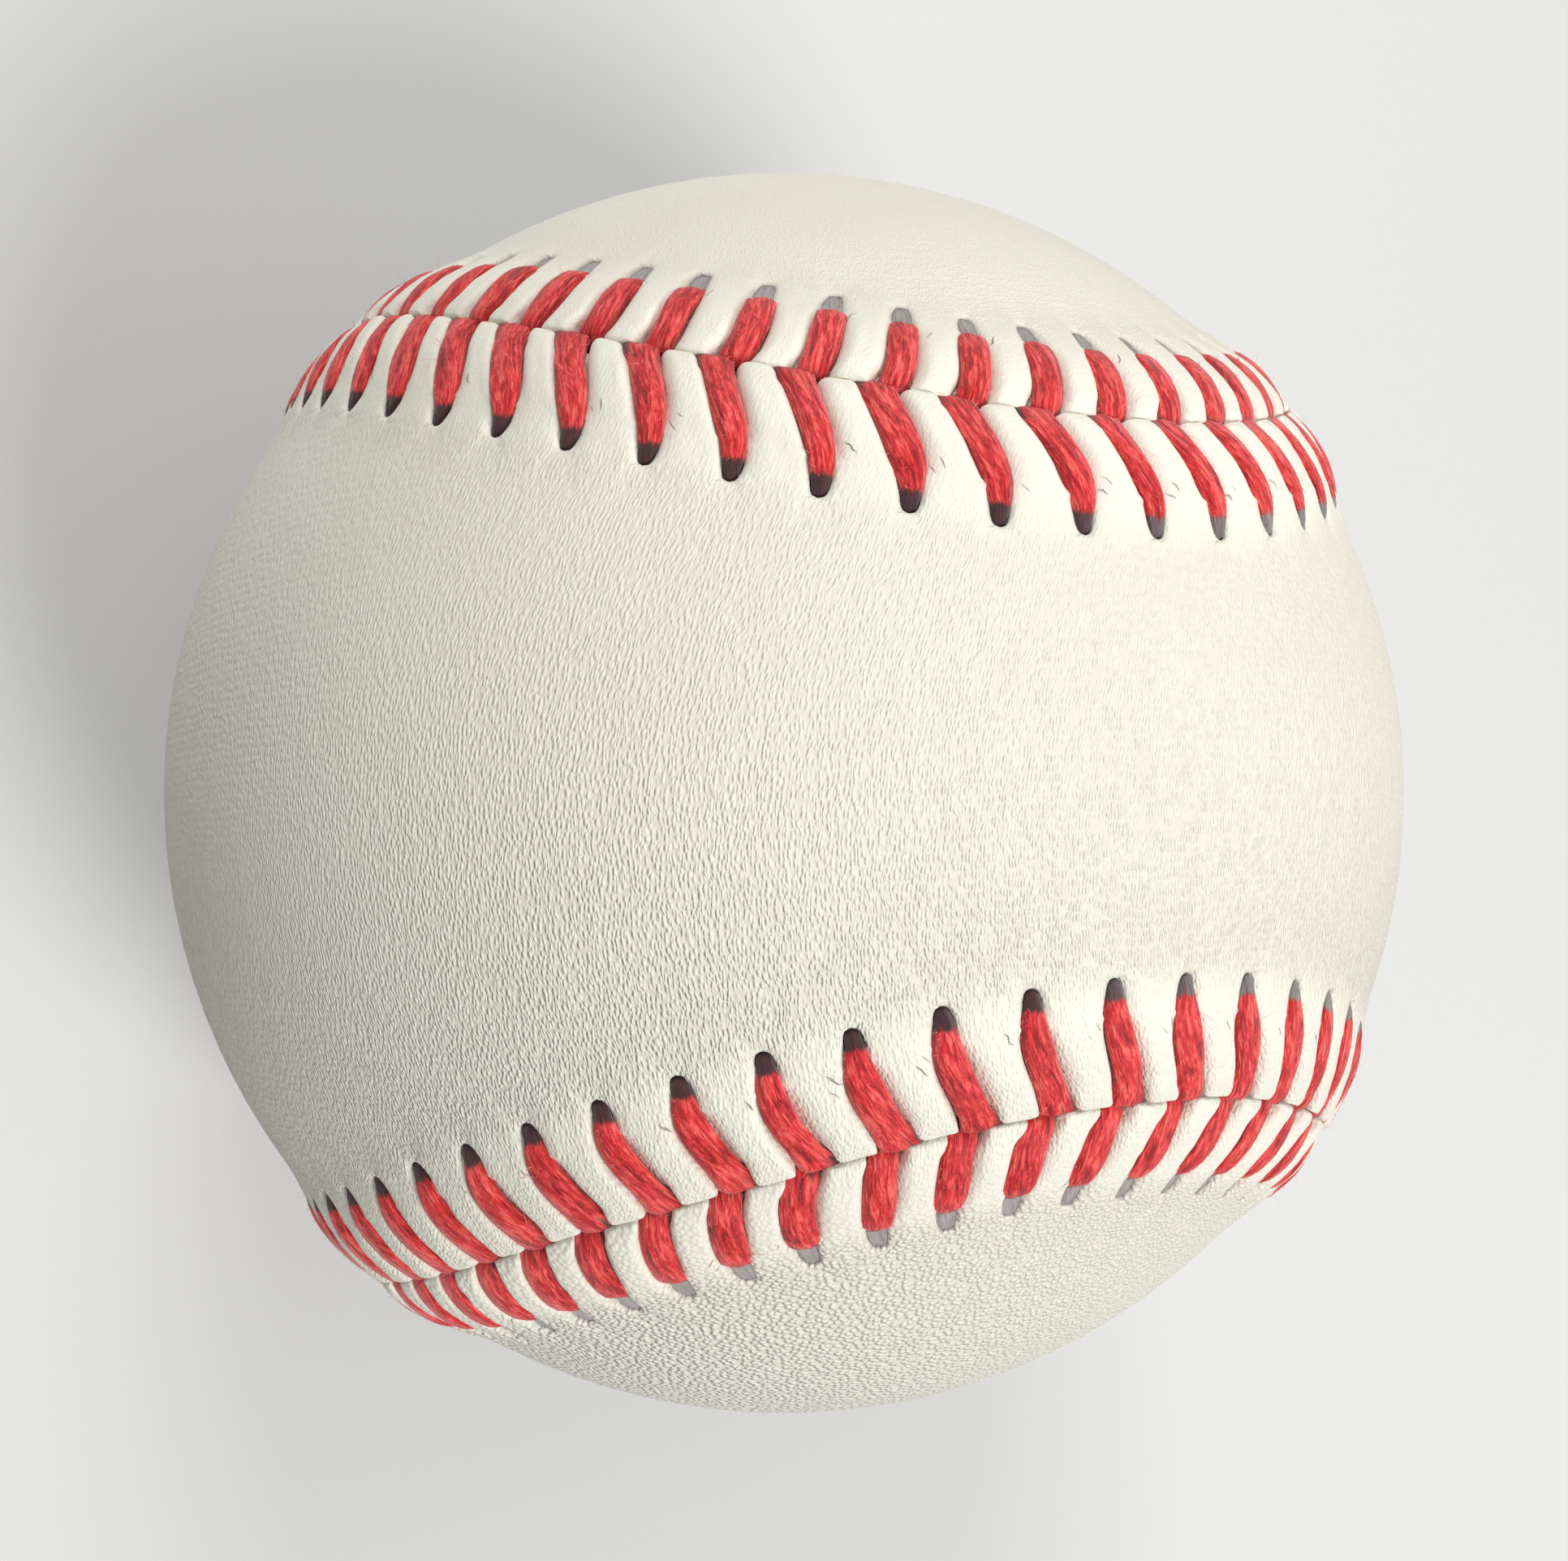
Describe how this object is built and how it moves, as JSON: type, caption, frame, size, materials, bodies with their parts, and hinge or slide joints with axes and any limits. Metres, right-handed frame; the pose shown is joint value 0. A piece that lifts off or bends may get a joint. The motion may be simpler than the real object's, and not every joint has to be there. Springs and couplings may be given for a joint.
{
  "type": "baseball",
  "caption": "Leather-covered ball with a cork and rubber pill and wound yarn inside, closed along a raised figure-eight seam by waxed lacing thread.",
  "frame": {"origin": "centre of the ball", "axes": "+Z through the waist of the upper cover, -Z through the waist of the lower cover; +X and -X through the middles of the lower cover's lobes, +Y and -Y through the middles of the upper cover's lobes"},
  "size_m": [0.0738, 0.0738, 0.0738],
  "materials": {
    "cork": "cork and rubber granules, matt",
    "black_rubber": "moulded, matt",
    "red_rubber": "moulded, matt",
    "grey_wool": "tightly wound wool yarn",
    "white_wool": "tightly wound wool yarn",
    "fine_yarn": "tightly wound cotton yarn",
    "cement": "dried rubber cement, satin",
    "leather": "fine pebbled grain, satin, off-white",
    "red_thread": "waxed thread of many fine fibres, satin"
  },
  "bodies": {
    "root": {"cork_core": "cork", "black_shell_upper": "black_rubber", "black_shell_lower": "black_rubber", "shell_washer": "red_rubber", "red_shell": "red_rubber", "first_winding": "grey_wool", "second_winding": "white_wool", "third_winding": "grey_wool", "finishing_winding": "fine_yarn", "cement_coat": "cement", "cover_upper": "leather", "cover_lower": "leather", "lacing_thread_first": "red_thread", "lacing_thread_second": "red_thread"}
  },
  "joints": []
}
